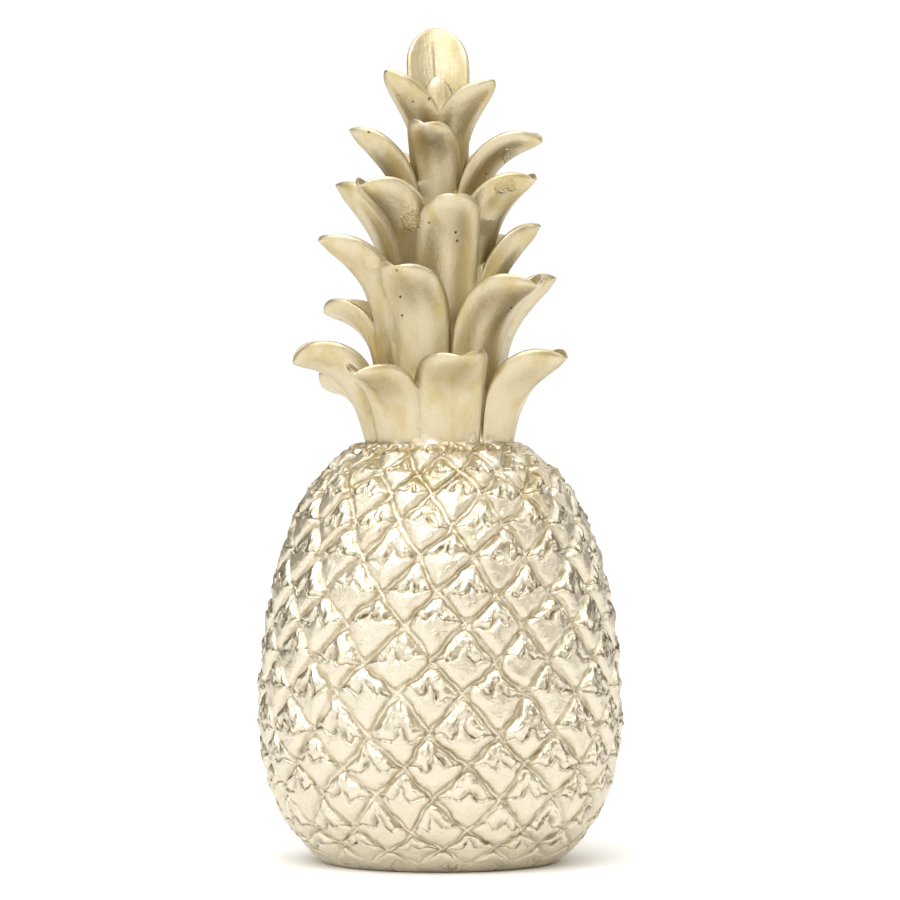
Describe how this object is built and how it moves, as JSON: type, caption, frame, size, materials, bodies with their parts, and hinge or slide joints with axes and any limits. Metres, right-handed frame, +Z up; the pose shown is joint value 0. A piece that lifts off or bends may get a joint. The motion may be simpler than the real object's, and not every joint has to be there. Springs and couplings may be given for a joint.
{
  "type": "decorative pineapple",
  "caption": "Cast resin pineapple ornament: egg-shaped body under a net of raised scales, with a tiered crown of curling leaves, standing on its flat underside.",
  "frame": {"origin": "centre of the flat underside, on the axis of the body", "axes": "+Z up along the axis to the top of the crown, -Y towards the front as pictured, +X to the viewer's right"},
  "size_m": [0.1261, 0.126, 0.2873],
  "materials": {
    "champagne_paint": "satin champagne-gold metallic paint over cast polyresin, brighter on the raised scales and leaf edges, warmer in the recesses"
  },
  "bodies": {
    "root": {"pineapple": "champagne_paint"}
  },
  "joints": []
}
